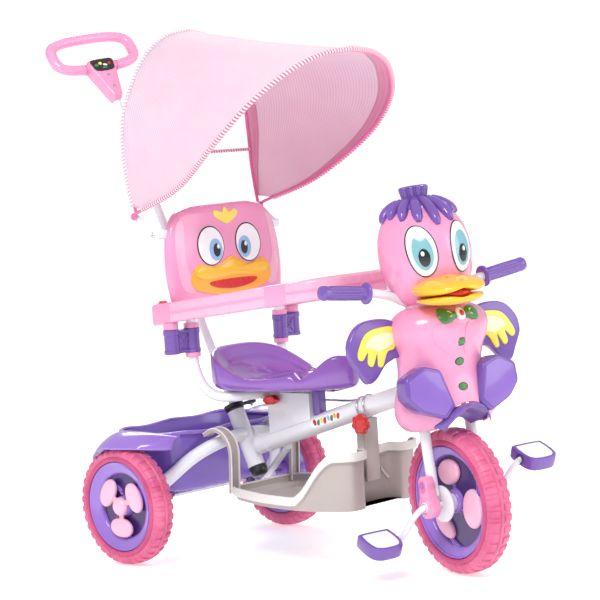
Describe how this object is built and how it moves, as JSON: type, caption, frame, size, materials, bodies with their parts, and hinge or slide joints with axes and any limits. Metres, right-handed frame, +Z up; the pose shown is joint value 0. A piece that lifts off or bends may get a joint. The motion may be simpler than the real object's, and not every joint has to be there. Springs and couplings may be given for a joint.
{
  "type": "children's tricycle",
  "caption": "Children's pedal tricycle with canopy, guard rail, footrest tray, rear basket, parent push handle and a duck figure on the fork.",
  "frame": {"origin": "middle of the bounding box at ground level", "axes": "+X forward, +Y the rider's left, +Z up"},
  "size_m": [1.0467, 0.4848, 1.0023],
  "materials": {
    "pink_plastic": "gloss",
    "tyre_pink": "matte",
    "purple_plastic": "gloss",
    "lilac_plastic": "gloss",
    "white_paint": "gloss paint",
    "zinc_steel": "zinc plated",
    "black_plastic": "satin",
    "red_plastic": "gloss",
    "beige_plastic": "satin",
    "yellow_plastic": "gloss",
    "pink_tube": "painted",
    "canopy_fabric": "woven"
  },
  "bodies": {
    "frame": {"main_tube": "white_paint", "head_tube": "white_paint", "handle_socket": "white_paint", "socket_cap": "black_plastic", "rear_arch_right": "white_paint", "rear_arch_left": "white_paint", "rear_axle": "zinc_steel", "brace_strut": "white_paint", "seat_bracket": "white_paint", "seat_post": "purple_plastic", "seat_rail": "black_plastic", "seat_shell": "lilac_plastic", "back_frame": "white_paint", "backrest_panel": "pink_plastic", "footrest_tray": "beige_plastic", "tray_band": "black_plastic", "basket": "purple_plastic", "guard_clamp_right": "purple_plastic", "guard_clamp_left": "purple_plastic", "canopy_rear_bow": "pink_tube", "canopy_bracket_right": "white_paint", "canopy_bracket_left": "white_paint", "canopy_cloth": "canopy_fabric"},
    "canopy_front": {"canopy_front_bow": "pink_tube"},
    "guard": {"guard_rail": "pink_plastic"},
    "guard_button_right": {"guard_button_right": "red_plastic"},
    "guard_button_left": {"guard_button_left": "red_plastic"},
    "steering": {"fork": "white_paint", "fork_end_right": "pink_plastic", "fork_end_left": "pink_plastic", "handlebar": "white_paint", "grip_right": "purple_plastic", "grip_left": "purple_plastic", "duck_body": "pink_plastic", "duck_head": "pink_plastic", "duck_bill": "yellow_plastic", "duck_tuft": "purple_plastic", "wing_right": "purple_plastic", "wing_left": "purple_plastic", "foot_right": "purple_plastic", "foot_left": "purple_plastic", "mudguard": "purple_plastic"},
    "front_wheel": {"front_tyre": "tyre_pink", "front_rim": "lilac_plastic", "crank_axle": "white_paint"},
    "pedal_right": {"pedal_right": "purple_plastic"},
    "pedal_left": {"pedal_left": "purple_plastic"},
    "rear_wheel_right": {"rear_tyre_right": "tyre_pink", "rear_rim_right": "lilac_plastic", "hub_cap_right": "pink_plastic"},
    "rear_wheel_left": {"rear_tyre_left": "tyre_pink", "rear_rim_left": "lilac_plastic", "hub_cap_left": "pink_plastic"},
    "push_handle": {"push_pole": "white_paint", "push_housing": "pink_plastic", "push_grip": "pink_plastic", "steer_lever": "black_plastic"},
    "steering_link": {"link_rod": "zinc_steel"},
    "seat_knob": {"seat_knob": "red_plastic"},
    "tray_knob": {"tray_knob": "red_plastic"}
  },
  "joints": [
    {"name": "steering_turn", "type": "hinge", "parent": "frame", "child": "steering", "pos_m": [0.3984, 0, 0.1272], "axis": [-0.1219, 0, 0.9925], "range_deg": [-10.2, 39.8]},
    {"name": "front_wheel_spin", "type": "hinge", "parent": "steering", "child": "front_wheel", "pos_m": [0.3984, 0, 0.1272], "axis": [0.2535, 0.9668, 0.0311], "continuous": true},
    {"name": "pedal_right_spin", "type": "hinge", "parent": "front_wheel", "child": "pedal_right", "pos_m": [0.32347, -0.12313, 0.06447], "axis": [0.2535, 0.9668, 0.0311], "continuous": true},
    {"name": "pedal_left_spin", "type": "hinge", "parent": "front_wheel", "child": "pedal_left", "pos_m": [0.47333, 0.12313, 0.18993], "axis": [0.2535, 0.9668, 0.0311], "continuous": true},
    {"name": "rear_wheel_right_spin", "type": "hinge", "parent": "frame", "child": "rear_wheel_right", "pos_m": [-0.2256, -0.21, 0.11], "axis": [0, 1, 0], "continuous": true},
    {"name": "rear_wheel_left_spin", "type": "hinge", "parent": "frame", "child": "rear_wheel_left", "pos_m": [-0.2256, 0.21, 0.11], "axis": [0, 1, 0], "continuous": true},
    {"name": "push_handle_turn", "type": "hinge", "parent": "frame", "child": "push_handle", "pos_m": [-0.0871, 0, 0.1535], "axis": [-0.4163, 0, 0.9092], "range_deg": [-10.2, 39.8]},
    {"name": "link_swing", "type": "hinge", "parent": "push_handle", "child": "steering_link", "pos_m": [-0.13173, 0.03674, 0.27429], "axis": [-0.4163, 0, 0.9092], "range_deg": [-39.8, 10.2]},
    {"name": "guard_lift", "type": "slide", "parent": "frame", "child": "guard", "axis": [0, 0, 1], "range_m": [0, 0.045]},
    {"name": "guard_button_right_press", "type": "slide", "parent": "guard", "child": "guard_button_right", "axis": [0, 0, -1], "range_m": [0, 0.003], "stiffness_N_per_m": 220},
    {"name": "guard_button_left_press", "type": "slide", "parent": "guard", "child": "guard_button_left", "axis": [0, 0, -1], "range_m": [0, 0.003], "stiffness_N_per_m": 220},
    {"name": "canopy_fold", "type": "hinge", "parent": "frame", "child": "canopy_front", "pos_m": [-0.1996, 0, 0.642], "axis": [0, -1, 0], "range_deg": [0, 46], "deforming": ["canopy_cloth"]},
    {"name": "seat_knob_turn", "type": "hinge", "parent": "frame", "child": "seat_knob", "pos_m": [-0.0116, -0.0164, 0.2905], "axis": [0, -1, 0], "continuous": true},
    {"name": "tray_knob_turn", "type": "hinge", "parent": "frame", "child": "tray_knob", "pos_m": [0.20818, -0.0228, 0.25566], "axis": [0, -1, 0], "continuous": true}
  ],
  "couplings": [
    {"joint": "push_handle_turn", "follows": "steering_turn", "ratio": 1},
    {"joint": "link_swing", "follows": "steering_turn", "ratio": -1}
  ]
}
